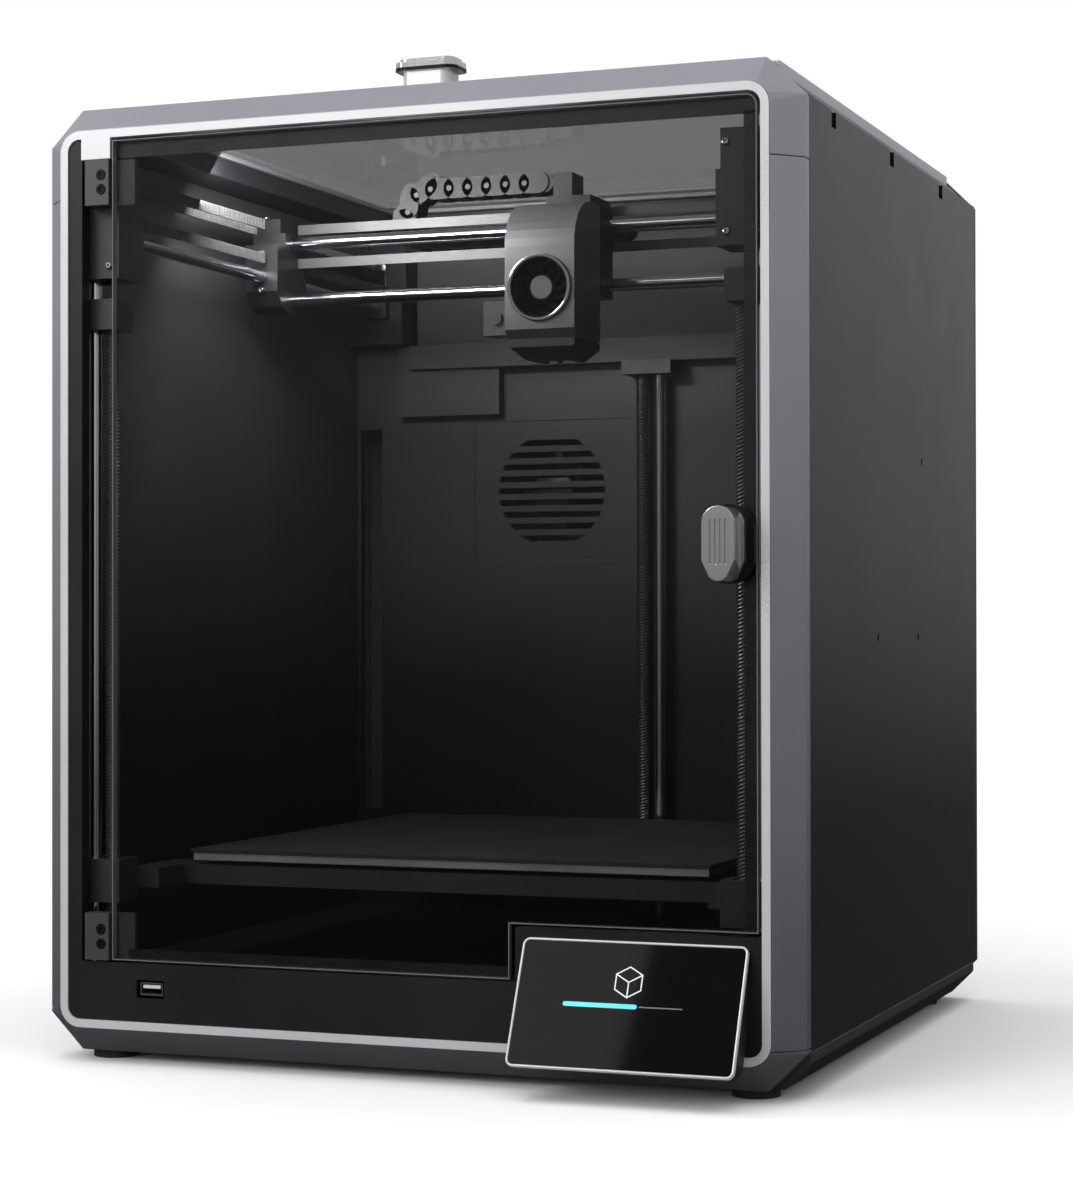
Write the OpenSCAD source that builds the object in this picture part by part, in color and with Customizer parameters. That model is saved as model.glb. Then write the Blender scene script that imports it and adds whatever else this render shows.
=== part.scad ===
// Desktop fused-filament printer: closed case with a glass door, a lift-off lid, a touch
// screen, a crossed-belt gantry with its print head, and a bed on three screws.
// Millimetres. X runs to the right, Y to the back and Z up.

/* [Case] */
// Outside width of the case
case_width = 435; // [400:1:460]
// From the front ring to the back face
case_depth = 426; // [400:1:450]
// Height of the case without its feet
case_height = 522; // [480:1:540]
// Height of each foot
foot_height = 5; // [3:1:12]
// Radius of each foot
foot_radius = 12.5; // [8:0.5:16]
// From the front ring back to the origin
front_reach = 201; // [190:1:215]
// Corner chamfer of the end mouldings
corner_chamfer = 20; // [12:1:28]
// Corner chamfer of the side rails
rail_chamfer = 14; // [8:1:20]
// Width and depth of the bevel round the front
bevel = 14; // [8:1:18]
// Depth of the front mouldings
front_depth = 23; // [18:1:30]
// Thickness of the side panels
panel_thick = 3; // [2:0.5:5]

/* [Front] */
// Width of the silver ring
ring_width = 5; // [3:0.5:8]
// Height of the seam under the top moulding
seam_high = 470; // [440:1:490]
// Height of the seam over the bottom moulding
seam_low = 22; // [18:1:30]
// Top of the fascia
fascia_top = 51; // [45:1:60]

/* [Door] */
// Thickness of the glass
glass_thick = 4; // [3:0.5:6]
// Hinge axis, to the left of the middle
hinge_x = -183; // [-186:0.5:-180]
// Hinge axis, behind the ring face
hinge_y = 3.2; // [2.5:0.1:4]
// Radius of the hinge pins
pin_radius = 1.5; // [1:0.1:2]

/* [Screen] */
// Width of the touch screen
screen_width = 120.5; // [100:0.5:140]
// Height of the touch screen along its slope
screen_length = 68; // [50:1:80]
// Slope of the touch screen
screen_slope = 65.7; // [50:0.1:90]

/* [Motion] */
// Radius of the guide rods
rod_radius = 4; // [3:0.5:6]
// Radial clearance of the running fits
running_gap = 0.05; // [0.02:0.01:0.1]
// Gantry position from the ring face
gantry_y = 217; // [80:1:340]
// Print head position from the middle
head_x = 20; // [-140:1:140]
// Top of the build plate
plate_top = 109; // [90:1:380]
// Side of the build plate
plate_side = 307; // [280:1:320]
// Height of the upper belt
belt_high = 482; // [476:1:490]
// Height of the lower belt
belt_low = 461; // [456:1:470]

/* [Hidden] */
$fn = 48;
half = case_width / 2;
ring_x = half - bevel;
ring_low = bevel;
ring_high = case_height - bevel;
open_x = ring_x - ring_width;
open_low = ring_low + ring_width;
open_high = ring_high - ring_width;
rail_low = 20;
rail_high = 503;
rail_top = 515;
rear_front = 414;
rear_open_x = 206;
back_wall_y = 395;
floor_top = 45;
screw_side = [183, 22];
screw_rear = [5, 385];
guide_side = [194, 22];
guide_rear = [17, 385];
motor_x = 184;
motor_y = 395;
pulley_radius = 7.4;
fan_height = 430;
head_fan_radius = 19.4;
chain_turn_x = -80;
chain_z = 488;
chain_pitch = 12.4;
fan_x = -63;
fan_z = 325;
bore = rod_radius + running_gap;

module place() {
    translate([0, -front_reach, foot_height]) children();
}

module both() {
    children();
    mirror([1, 0, 0]) children();
}

module slab(x0, x1, y0, y1, z0, z1) {
    translate([x0, y0, z0]) cube([x1 - x0, y1 - y0, z1 - z0]);
}

module along_x(x0, x1) {
    translate([x0, 0, 0]) rotate([90, 0, 90]) linear_extrude(x1 - x0) children();
}

module along_y(y0, y1) {
    translate([0, y1, 0]) rotate([90, 0, 0]) linear_extrude(y1 - y0) children();
}

module along_z(z0, z1) {
    translate([0, 0, z0]) linear_extrude(z1 - z0) children();
}

module rod_x(x0, x1, y, z, r) {
    translate([x0, y, z]) rotate([0, 90, 0]) cylinder(h = x1 - x0, r = r);
}

module rod_y(x, y0, y1, z, r) {
    translate([x, y0, z]) rotate([-90, 0, 0]) cylinder(h = y1 - y0, r = r);
}

module rod_z(p, z0, z1, r) {
    translate([p[0], p[1], z0]) cylinder(h = z1 - z0, r = r);
}

module rounded(x0, x1, z0, z1, r) {
    translate([x0 + r, z0]) square([x1 - x0 - 2 * r, z1 - z0]);
    translate([x0, z0 + r]) square([x1 - x0, z1 - z0 - 2 * r]);
    for (x = [x0 + r, x1 - r]) {
        for (z = [z0 + r, z1 - r]) {
            translate([x, z]) circle(r);
        }
    }
}

// Frame outline with each corner in four straight steps
module soft_corners(w, z0, z1, r) {
    polygon([
        for (q = [0:3]) for (k = [0:4]) [
            (q == 0 || q == 3 ? w - r : r - w) + r * cos(90 * q + 22.5 * k),
            (q < 2 ? z1 - r : z0 + r) + r * sin(90 * q + 22.5 * k)
        ]
    ]);
}

module octagon(w, z0, z1, c) {
    polygon([
        [c - w, z0], [w - c, z0], [w, z0 + c], [w, z1 - c],
        [w - c, z1], [c - w, z1], [-w, z1 - c], [-w, z0 + c]
    ]);
}

// Flat belt between two points in plan
module belt(p, q, z) {
    run = norm(q - p);
    translate([p[0], p[1], z - 3]) {
        rotate([0, 0, atan2(q[1] - p[1], q[0] - p[0])]) {
            translate([0, -0.7, 0]) cube([run, 1.4, 6]);
        }
    }
}

module front_shell() {
    difference() {
        hull() {
            along_y(0.6, 0.8) soft_corners(ring_x, ring_low, ring_high, 11);
            along_y(bevel + 1, front_depth) octagon(half, 0, case_height, corner_chamfer);
        }
        along_y(0, 6.1) rounded(-ring_x + 0.4, ring_x - 0.4, ring_low + 0.4, ring_high - 0.4, 12);
        along_y(6, front_depth + 1) rounded(-open_x, open_x, open_low, open_high, 7);
    }
}

module front_top_moulding() {
    color("slategray") place() intersection() {
        front_shell();
        slab(-half - 1, half + 1, -1, front_depth + 1, seam_high + 0.2, case_height + 1);
    }
}

module front_posts() {
    color("slategray") place() intersection() {
        front_shell();
        slab(-half - 1, half + 1, -1, front_depth + 1, seam_low + 0.2, seam_high - 0.2);
    }
}

module front_bottom_moulding() {
    color("dimgray") place() intersection() {
        front_shell();
        slab(-half - 1, half + 1, -1, front_depth + 1, -1, seam_low - 0.2);
    }
}

module trim_ring() {
    color("silver") place() difference() {
        union() {
            difference() {
                along_y(0, 6) rounded(-ring_x + 0.5, ring_x - 0.5, ring_low + 0.5, ring_high - 0.5, 11.9);
                along_y(-1, 7) rounded(-open_x, open_x, open_low, open_high, 7);
            }
            slab(-190, -172, 0, 6, 491.5, open_high + 2);
        }
        rod_z([hinge_x, hinge_y], 490, 500, pin_radius + running_gap);
    }
}

module front_bezel() {
    color("#2d3032") place() difference() {
        intersection() {
            union() {
                slab(-open_x, -190, 1, 9, open_low, 498.6);
                rod_y(-194.2, 1, 9, 498.6, 4.2);
                slab(-open_x, open_x, 1, 9, open_low, fascia_top);
                slab(66, open_x, 1, 9, fascia_top, 79);
            }
            along_y(0, 10) rounded(0.2 - open_x, open_x - 0.2, open_low + 0.2, open_high - 0.2, 7);
        }
        slab(-156, -139, 0, 10, 32, 42);
        rod_z([hinge_x, hinge_y], 40, fascia_top + 1, pin_radius + running_gap);
    }
}

module usb_port() {
    color("silver") place() {
        difference() {
            slab(-154.5, -140.5, 2.5, 18, 33.4, 40.6);
            slab(-153.7, -141.3, 1.5, 16, 34.4, 39.6);
        }
        slab(-153, -142, 9, 16, 37.6, 39.2);
    }
}

module on_screen() {
    translate([72, -30, 13]) rotate([screen_slope, 0, 0]) children();
}

module screen_rim() {
    color("silver") place() on_screen() along_z(-3, 0) difference() {
        rounded(0, screen_width, 0, screen_length, 4);
        rounded(1.3, screen_width - 1.3, 1.3, screen_length - 1.3, 2.7);
    }
}

module screen_glass() {
    color("black") place() on_screen() along_z(-2.6, -0.3) {
        rounded(1.4, screen_width - 1.4, 1.4, screen_length - 1.4, 2.6);
    }
}

module screen_housing() {
    color("#1a1b1c") place() {
        along_x(73.5, 191) polygon([
            [-25.5, 13.2], [-1.7, 66], [0.9, 66], [0.9, 34], [-8, 14], [-20.9, 10.6]
        ]);
        on_screen() along_z(-5, -3.02) {
            rounded(1, screen_width - 1, 1, 60, 5);
        }
    }
}

module base_tray() {
    color("#4a4c50") place() difference() {
        intersection() {
            along_y(front_depth, rear_front) octagon(half, 0, case_height, rail_chamfer);
            slab(-half, half, front_depth, rear_front, 0, rail_low);
        }
        along_y(front_depth + 3, rear_front + 1) polygon([
            [-201.2, 3], [201.2, 3], [213.2, 15], [213.2, 25], [-213.2, 25], [-213.2, 15]
        ]);
        for (k = [0:11]) {
            slab(-88 + 16 * k, -80 + 16 * k, 120, 190, -1, 4);
        }
    }
}

module feet() {
    color("black") place() for (y = [32, 392]) {
        both() rod_z([186, y], -foot_height, 0, foot_radius);
    }
}

module top_frame() {
    color("#6c6e74") place() difference() {
        intersection() {
            along_y(front_depth, rear_front) octagon(half, 0, rail_top, rail_chamfer);
            slab(-half, half, front_depth, rear_front, rail_high + 0.3, rail_top);
        }
        slab(-178, 178, 48, 392, rail_high, rail_top + 1);
    }
}

module side_panels() {
    color("#141517") place() difference() {
        both() slab(half - panel_thick, half, front_depth + 0.2, 422, rail_low + 0.2, rail_high);
        for (p = [[271, 331], [164, 228], [261, 228]]) {
            rod_x(half - 1, half + 1, p[0], p[1], 2.2);
        }
        for (p = [[71, 498], [199, 498], [324, 498]]) {
            slab(half - 1.2, half + 1, p[0] - 5, p[0] + 5, p[1] - 4, p[1] + 6);
        }
    }
}

module rear_frame() {
    color("#4a4c50") place() difference() {
        union() {
            along_y(rear_front, 422.2) octagon(half - panel_thick - 0.2, 0, case_height, 17);
            along_y(422.2, case_depth) octagon(half, 0, case_height, corner_chamfer);
        }
        along_y(rear_front - 1, case_depth + 1) rounded(-rear_open_x, rear_open_x, 14, 507, 6);
    }
}

module slots(x, z, r, pitch) {
    intersection() {
        translate([x, z]) circle(r);
        for (k = [-10:10]) {
            translate([x - r, z + k * pitch - pitch / 4]) square([2 * r, pitch / 2]);
        }
    }
}

module rear_cover() {
    color("#1a1b1c") place() difference() {
        along_y(418, 421) rounded(0.2 - rear_open_x, rear_open_x - 0.2, 14.2, 506.8, 6);
        slab(fan_x - 49, fan_x + 49, 417, 422, fan_z - 49, fan_z + 49);
        slab(118, 168, 417, 422, 44, 74);
        rod_y(130, 417, 422, 400, 6.2);
        for (k = [0:13]) {
            slab(-150 + 12 * k, -144 + 12 * k, 417, 422, 90, 150);
        }
    }
}

module fan_guard() {
    color("#1a1b1c") place() difference() {
        slab(fan_x - 52, fan_x + 52, 421, 431.9, fan_z - 52, fan_z + 52);
        slab(fan_x - 49, fan_x + 49, 420, 429, fan_z - 49, fan_z + 49);
        along_y(428, 433) slots(fan_x, fan_z, 44, 8);
    }
}

module inner_walls() {
    color("#242629") place() {
        both() slab(205, 206.5, front_depth + 0.5, 394.5, floor_top, rail_high);
        difference() {
            union() {
                slab(-206.5, 206.5, back_wall_y, 397, floor_top, rail_high);
                slab(-160, 160, 381, back_wall_y, 408, 424);
                slab(-170.5, -97, 386, back_wall_y, 376.5, 424);
            }
            slab(-118, -7, back_wall_y - 1, back_wall_y + 0.8, 278, 372);
            along_y(394, 398) slots(fan_x, fan_z, 38, 8);
            both() slab(160.5, 207, 380, 398, 424, rail_high + 1);
            slab(-203, -187, 394, 398, 110, 369);
        }
        difference() {
            slab(-204.8, 204.8, front_depth - 13, 394.5, 42, floor_top - 0.2);
            both() slab(198.2, 206, front_depth - 14, front_depth + 0.5, 41, 46);
            both() rod_z(screw_side, 41, 46, bore);
            both() rod_z(guide_side, 41, 46, bore);
            rod_z(screw_rear, 41, 46, bore);
            rod_z(guide_rear, 41, 46, bore);
        }
    }
}

module front_rod_blocks() {
    color("#1a1b1c") place() both() difference() {
        union() {
            slab(172, 198, 10, 38, 427, 466);
            slab(174, 194.5, 12, 38, 466, 487);
        }
        rod_y(179, 14, 39, 450, bore);
    }
}

module rear_brackets() {
    color("#2a2c2f") place() difference() {
        both() difference() {
            union() {
                slab(163, 204.8, 374, 416, 449.2, 453);
                slab(172, 186, 368, 374, 442, 458);
                slab(160.7, 175.5, 376, 414, 453, 489);
            }
            rod_y(179, 367, 374, 450, bore);
            rod_z([motor_x, motor_y], 449, 454, 4);
        }
        slab(-176, -160, 401, 404.8, belt_high - 4, belt_high + 4);
        slab(160, 176, 401, 404.8, belt_low - 4, belt_low + 4);
    }
}

module motors() {
    color("#222222") place() {
        slab(59.2, 100.8, 239.2, 280.8, 3, 24);
        rod_z([80, 260], 24, 36, 2.5);
        both() slab(163.2, 204.8, 374.2, 415.8, 425, 449);
        rod_z([-motor_x, motor_y], 449, 488, 2.5);
        rod_z([motor_x, motor_y], 449, 468, 2.5);
    }
}

module xy_pulley(x, z) {
    color("gold") place() difference() {
        union() {
            rod_z([x, motor_y], z - 3.6, z + 3.6, pulley_radius - 1);
            rod_z([x, motor_y], z - 5, z - 3.6, pulley_radius + 0.6);
            rod_z([x, motor_y], z + 3.6, z + 5, pulley_radius + 0.6);
        }
        rod_z([x, motor_y], z - 6, z + 6, 2.5 + running_gap);
    }
}

module xy_pulley_left() {
    xy_pulley(-motor_x, belt_high);
}

module xy_pulley_right() {
    xy_pulley(motor_x, belt_low);
}

module guide_rods() {
    color("lightsteelblue") place() {
        both() rod_y(179, 14.2, 373.8, 450, rod_radius);
        both() rod_z(guide_side, 38, 426.8, rod_radius);
        rod_z(guide_rear, 38, 407.8, rod_radius);
    }
}

module guide_brackets() {
    color("#18191a") place() {
        both() difference() {
            slab(176, 198.2, 11, 33, 399, 416);
            rod_z(screw_side, 398, 406, bore);
            rod_z(guide_side, 398, 417, bore);
        }
        difference() {
            slab(-6, 28, 374, 394.8, 399, 407.9);
            rod_z(screw_rear, 398, 406, bore);
            rod_z(guide_rear, 398, 407.95, bore);
        }
    }
}

module leadscrew(p) {
    color("lightgray") place() {
        rod_z(p, 22, 405.5, rod_radius);
        rod_z(p, 25, 27, 10);
        rod_z(p, 27, 33.5, 8.6);
        rod_z(p, 33.5, 35.5, 10);
    }
}

module leadscrew_left() {
    leadscrew([-screw_side[0], screw_side[1]]);
}

module leadscrew_right() {
    leadscrew(screw_side);
}

module leadscrew_rear() {
    leadscrew(screw_rear);
}

module z_pulley() {
    color("gold") place() difference() {
        union() {
            rod_z([80, 260], 25, 27, 10);
            rod_z([80, 260], 27, 33.5, 8.6);
            rod_z([80, 260], 33.5, 35.5, 10);
        }
        rod_z([80, 260], 24, 36, 2.5 + running_gap);
    }
}

module z_belt_run(p, q) {
    translate([p[0], p[1], 27.3]) rotate([0, 0, atan2(q[1] - p[1], q[0] - p[0])]) {
        translate([0, -10.2, 0]) cube([norm(q - p), 1, 5.9]);
    }
}

module z_belt() {
    stops = [[-screw_side[0], screw_side[1]], screw_side, [80, 260], screw_rear];
    color("#101010") place() {
        for (p = stops) {
            difference() {
                rod_z(p, 27.3, 33.2, 10.7);
                rod_z(p, 27, 34, 8.95);
            }
        }
        for (k = [0:3]) {
            z_belt_run(stops[k], stops[(k + 1) % 4]);
        }
    }
}

module power_inlet() {
    color("#101010") place() difference() {
        union() {
            slab(114, 172, 421, 423.5, 40, 78);
            slab(118.2, 167.8, 404, 421, 44.2, 73.8);
        }
        slab(121, 146, 407, 424, 50, 68);
        slab(150, 165, 409, 424, 48, 70);
    }
}

module power_rocker() {
    color("#202020") place() translate([157.5, 417, 59]) rotate([8, 0, 0]) {
        slab(-6.8, 6.8, 0.5, 5.5, -10, 10);
        rod_x(-6.8, 6.8, 0, 0, 3);
    }
}

module exhaust_housing() {
    color("#101010") place() difference() {
        slab(fan_x - 40, fan_x + 40, 397.2, 412.2, fan_z - 40, fan_z + 40);
        rod_y(fan_x, 397, 410.4, fan_z, 37.5);
        along_y(410, 413) difference() {
            translate([fan_x, fan_z]) circle(37.5);
            translate([fan_x, fan_z]) circle(15);
            for (a = [0:90:270]) {
                translate([fan_x, fan_z]) rotate(a) translate([0, -2]) square([40, 4]);
            }
        }
    }
}

module exhaust_rotor() {
    color("#0c0c0c") place() translate([fan_x, 0, fan_z]) {
        rod_y(0, 399, 409.6, 0, 14);
        for (a = [0:40:320]) {
            rotate([0, a, 0]) translate([13, 404.4, 0]) rotate([35, 0, 0]) {
                translate([0, -5.5, -0.7]) cube([22, 11, 1.4]);
            }
        }
    }
}

module filament_inlet() {
    color("#101010") place() difference() {
        union() {
            rod_y(130, 406, 418, 400, 5);
            rod_y(130, 418, 421, 400, 6);
            rod_y(130, 421, 428, 400, 8);
        }
        rod_y(130, 405, 429, 400, 2.1);
    }
}

module hinge_pins() {
    color("silver") place() {
        rod_z([hinge_x, hinge_y], 481, 499.8, pin_radius);
        rod_z([hinge_x, hinge_y], 40.2, 62, pin_radius);
    }
}

module belt_fixed_runs() {
    color("#0c0c0c") place() {
        belt([-192, 38.2], [-192, motor_y], belt_high);
        belt([192, 38.2], [192, motor_y], belt_low);
        belt([-motor_x, 402.9], [160.6, 402.9], belt_high);
        belt([motor_x, 402.9], [-160.6, 402.9], belt_low);
    }
}

module belt_side_runs() {
    color("#0c0c0c") place() for (z = [belt_high, belt_low]) {
        both() belt([176, 38.2], [176, gantry_y - 20.2], z);
        both() belt([175, gantry_y + 21.4], [175, 375.8], z);
    }
}

module belt_cross_runs() {
    color("#0c0c0c") place() for (z = [belt_high, belt_low]) {
        belt([-167.8, gantry_y + 9.2], [167.8, gantry_y + 9.2], z);
    }
}

module x_rods() {
    color("lightsteelblue") place() for (z = [472, 437]) {
        rod_x(-187.5, 187.5, gantry_y, z, rod_radius);
    }
}

module x_end_blocks() {
    color("#2a2c2f") place() both() difference() {
        union() {
            translate([0, gantry_y, 0]) along_x(168, 190) polygon([
                [-20, 470], [-20, 441], [-13, 432], [-6, 429],
                [6, 429], [13, 432], [20, 441], [20, 470]
            ]);
            slab(168, 190, gantry_y - 9, gantry_y + 20, 470, 478);
            slab(174, 190, gantry_y - 4, gantry_y + 20, 478, 488);
        }
        rod_y(179, gantry_y - 21, gantry_y + 21, 450, bore);
        rod_x(167, 188, gantry_y, 472, bore);
        rod_x(167, 188, gantry_y, 437, bore);
    }
}

module drag_chain() {
    color("#151515") place() translate([0, gantry_y + 14, chain_z]) {
        for (k = [0:10]) {
            translate([chain_turn_x + chain_pitch * k, 0, 0]) slab(0, 11, 0, 16, -22, -9);
        }
        for (k = [0:5]) {
            translate([chain_turn_x + chain_pitch * k, 0, 0]) slab(0, 11, 0, 16, 9, 22);
        }
        slab(chain_turn_x, 50, 5, 11, -18, -13);
        slab(chain_turn_x, head_x - 18.2, 5, 11, 13, 18);
        for (a = [105:30:255]) {
            translate([chain_turn_x, 0, 0]) rotate([0, -a, 0]) slab(9, 22, 0, 16, -5, 5);
        }
    }
}

module at_head() {
    translate([head_x, gantry_y, 0]) children();
}

module head_body() {
    color("#1a1b1c") place() at_head() difference() {
        union() {
            slab(-21, 21, -14, 8, 429, 480);
            slab(-19.4, 19.4, -45, -14, 400, 470);
            slab(-14, 14, -12, 24, 480, 490);
            slab(-18, -6, 11, 31, 480, 508);
            intersection() {
                along_x(-20.5, 20.5) polygon([
                    [-57, 400.8], [-14, 400.8], [-14, 396], [-20, 389.5], [-48, 389.5], [-57, 396]
                ]);
                along_y(-58, -10) polygon([
                    [-20.5, 402], [20.5, 402], [20.5, 397], [13, 389], [-13, 389], [-20.5, 397]
                ]);
            }
        }
        slab(-22, 22, 7.9, 10.8, belt_high - 4, belt_high + 4);
        rod_x(-22, 22, 0, 472, bore);
        rod_x(-22, 22, 0, 437, bore);
        rod_y(0, -60, -38, fan_height, head_fan_radius - 1.7);
        slab(-9, 9, -36, -16, 388, 410);
    }
}

function cover_arc(r) = [
    for (k = [0:9]) [-32 - r * cos(10 * k), 454 + r * sin(10 * k)]
];

module head_cover() {
    color("lightgray") place() at_head() difference() {
        along_x(-21.5, 21.5) polygon(concat(
            [[-55, 401], [-60, 406]], cover_arc(28), [[-16, 482], [-16, 401.5]]
        ));
        along_x(-19.6, 19.6) polygon(concat(
            [[-53.5, 400], [-58, 406.8]], cover_arc(26), [[-14, 480], [-14, 400]]
        ));
        rod_y(0, -62, -50, fan_height, head_fan_radius + 0.1);
    }
}

module head_fan_ring() {
    color("silver") place() at_head() difference() {
        rod_y(0, -61.5, -57, fan_height, head_fan_radius);
        rod_y(0, -62, -56, fan_height, head_fan_radius - 2);
    }
}

module head_fan_rotor() {
    color("#0c0c0c") place() at_head() translate([0, 0, fan_height]) {
        rod_y(0, -56, -45.4, 0, 7.5);
        for (a = [0:40:320]) {
            rotate([0, a, 0]) translate([6.6, -53, -0.6]) rotate([28, 0, 0]) cube([10, 6.6, 1.2]);
        }
    }
}

module range_sensor() {
    color("#303236") place() at_head() {
        slab(-38, -21.6, -52, -36, 404, 424);
        rod_y(-30, -53.5, -52, 414, 3.8);
    }
}

module hot_end() {
    color("#b08d57") place() at_head() {
        slab(-8, 8, -34, -18, 394, 409.9);
        translate([0, -26, 388]) cylinder(h = 6, r1 = 1, r2 = 4.5);
    }
}

module build_plate() {
    color("#202022") place() difference() {
        slab(-plate_side / 2, plate_side / 2, 58, 58 + plate_side, plate_top - 2, plate_top);
        slab(-16, 16, 50, 58.01, plate_top - 3, plate_top + 1);
    }
}

module heated_bed() {
    color("lightgray") place() slab(-152.5, 152.5, 59.5, 363.5, plate_top - 6.5, plate_top - 2);
}

module bed_carrier() {
    difference() {
        slab(173, 197.8, 12, 33, plate_top - 27, plate_top - 3);
        rod_z(screw_side, plate_top - 28, plate_top - 2, 6.2);
        rod_z(guide_side, plate_top - 28, plate_top - 2, bore);
    }
    slab(160, 180, 33, 90, plate_top - 20, plate_top - 9);
    slab(146, 160, 62, 90, plate_top - 20, plate_top - 9);
}

module bed_frame() {
    color("#2c2e31") place() {
        both() bed_carrier();
        difference() {
            slab(-6, 28, 366, 393.8, plate_top - 27, plate_top - 3);
            rod_z(screw_rear, plate_top - 28, plate_top - 2, 6.2);
            rod_z(guide_rear, plate_top - 28, plate_top - 2, bore);
        }
        slab(-14, 36, 350, 366, plate_top - 20, plate_top - 9);
        difference() {
            slab(-150, 150, 62, 360, plate_top - 20, plate_top - 9);
            slab(-130, 130, 82, 340, plate_top - 21, plate_top - 8);
        }
        slab(-8, 8, 82, 340, plate_top - 20, plate_top - 9);
        for (y = [74, 348]) {
            both() rod_z([140, y], plate_top - 9, plate_top - 6.5, 5);
        }
    }
}

module lead_nuts() {
    color("goldenrod") place() for (p = [screw_side, [-screw_side[0], screw_side[1]], screw_rear]) {
        difference() {
            rod_z(p, plate_top - 27, plate_top - 6, 6.15);
            rod_z(p, plate_top - 28, plate_top - 5, bore);
        }
    }
}

module door_glass() {
    color("#30343888") place() along_y(0.3, 0.3 + glass_thick) difference() {
        union() {
            rounded(-170.7, 196.6, 52.3, 501.3, 6);
            translate([-170.7, 52.3]) square([8, 449]);
        }
        translate([63, 40]) square([140, 41]);
    }
}

module door_handle_base() {
    color("#101010") place() along_y(-3, 0.3) rounded(170, 196, 255.5, 295.5, 12.9);
}

module door_handle_grip() {
    color("silver") place() difference() {
        along_y(-23, -3) polygon(concat(
            [for (a = [0:15:180]) [183 + 8.5 * cos(a), 285.5 + 8.5 * sin(a)]],
            [[174.5, 267], [178.5, 258.5], [181.5, 256.8]],
            [[184.5, 256.8], [187.5, 258.5], [191.5, 267]]
        ));
        for (x = [178.6, 181.2, 183.8, 186.4]) {
            slab(x, x + 1, -24, -22.2, 265, 287);
        }
        for (side = [174, 189.5]) {
            slab(side, side + 2.5, -17, -7, 250, 300);
        }
    }
}

module hinge_leaf(z0, z1) {
    difference() {
        union() {
            slab(-187, -172.3, -1, 7.4, z0, z1);
            slab(-173, -159, 0.4 + glass_thick, 7.4, z0, z1);
        }
        rod_z([hinge_x, hinge_y], z0 - 1, z1 + 1, pin_radius + running_gap);
        for (z = [(z0 + z1) / 2 - 4, (z0 + z1) / 2 + 4]) {
            rod_y(-177, -2, 0.2, z, 3);
        }
    }
}

module hinge_leaves() {
    color("gray") place() {
        hinge_leaf(466, 491);
        hinge_leaf(52, 77.7);
    }
}

module hinge_screws() {
    color("#202020") place() for (m = [478.5, 64.85]) {
        for (z = [m - 4, m + 4]) {
            difference() {
                rod_y(-177, -1.4, 0.2, z, 2.7);
                translate([-177, -2, z]) rotate([-90, 0, 0]) cylinder(h = 1.4, r = 1.5, $fn = 6);
            }
        }
    }
}

module lid_frame() {
    color("lightgray") place() difference() {
        slab(-202, 202, 24.5, 412.5, rail_top + 0.2, case_height);
        slab(-176, 176, 50, 390, rail_top, case_height + 1);
        slab(-190, 190, 36, 401, rail_top + 3.2, case_height + 1);
    }
}

module lid_window() {
    color("#30343888") place() slab(-189.8, 189.8, 36.2, 400.8, rail_top + 3.2, case_height);
}

module lid_knob_stem() {
    color("lightgray") place() translate([0, 46, 0]) {
        along_z(case_height, case_height + 12.5) rounded(-14, 14, -9, 9, 5);
    }
}

module lid_knob_cap() {
    color("silver") place() translate([0, 46, 0]) {
        along_z(case_height + 12.5, case_height + 17) rounded(-18, 18, -11, 11, 6);
        along_z(case_height + 17, case_height + 19) rounded(-16, 16, -9, 9, 5);
    }
}

front_top_moulding();
front_posts();
front_bottom_moulding();
trim_ring();
front_bezel();
usb_port();
screen_housing();
screen_rim();
screen_glass();
base_tray();
feet();
top_frame();
side_panels();
rear_frame();
rear_cover();
fan_guard();
inner_walls();
front_rod_blocks();
rear_brackets();
motors();
guide_rods();
guide_brackets();
z_belt();
power_inlet();
exhaust_housing();
filament_inlet();
hinge_pins();
belt_fixed_runs();
belt_side_runs();
door_glass();
door_handle_base();
door_handle_grip();
hinge_leaves();
hinge_screws();
lid_frame();
lid_window();
lid_knob_stem();
lid_knob_cap();
x_rods();
x_end_blocks();
belt_cross_runs();
drag_chain();
head_body();
head_cover();
head_fan_ring();
range_sensor();
hot_end();
head_fan_rotor();
bed_frame();
heated_bed();
build_plate();
lead_nuts();
leadscrew_left();
leadscrew_right();
leadscrew_rear();
xy_pulley_left();
xy_pulley_right();
z_pulley();
exhaust_rotor();
power_rocker();
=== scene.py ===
import math
import bmesh
import bpy
from mathutils import Matrix, Quaternion, Vector

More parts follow.
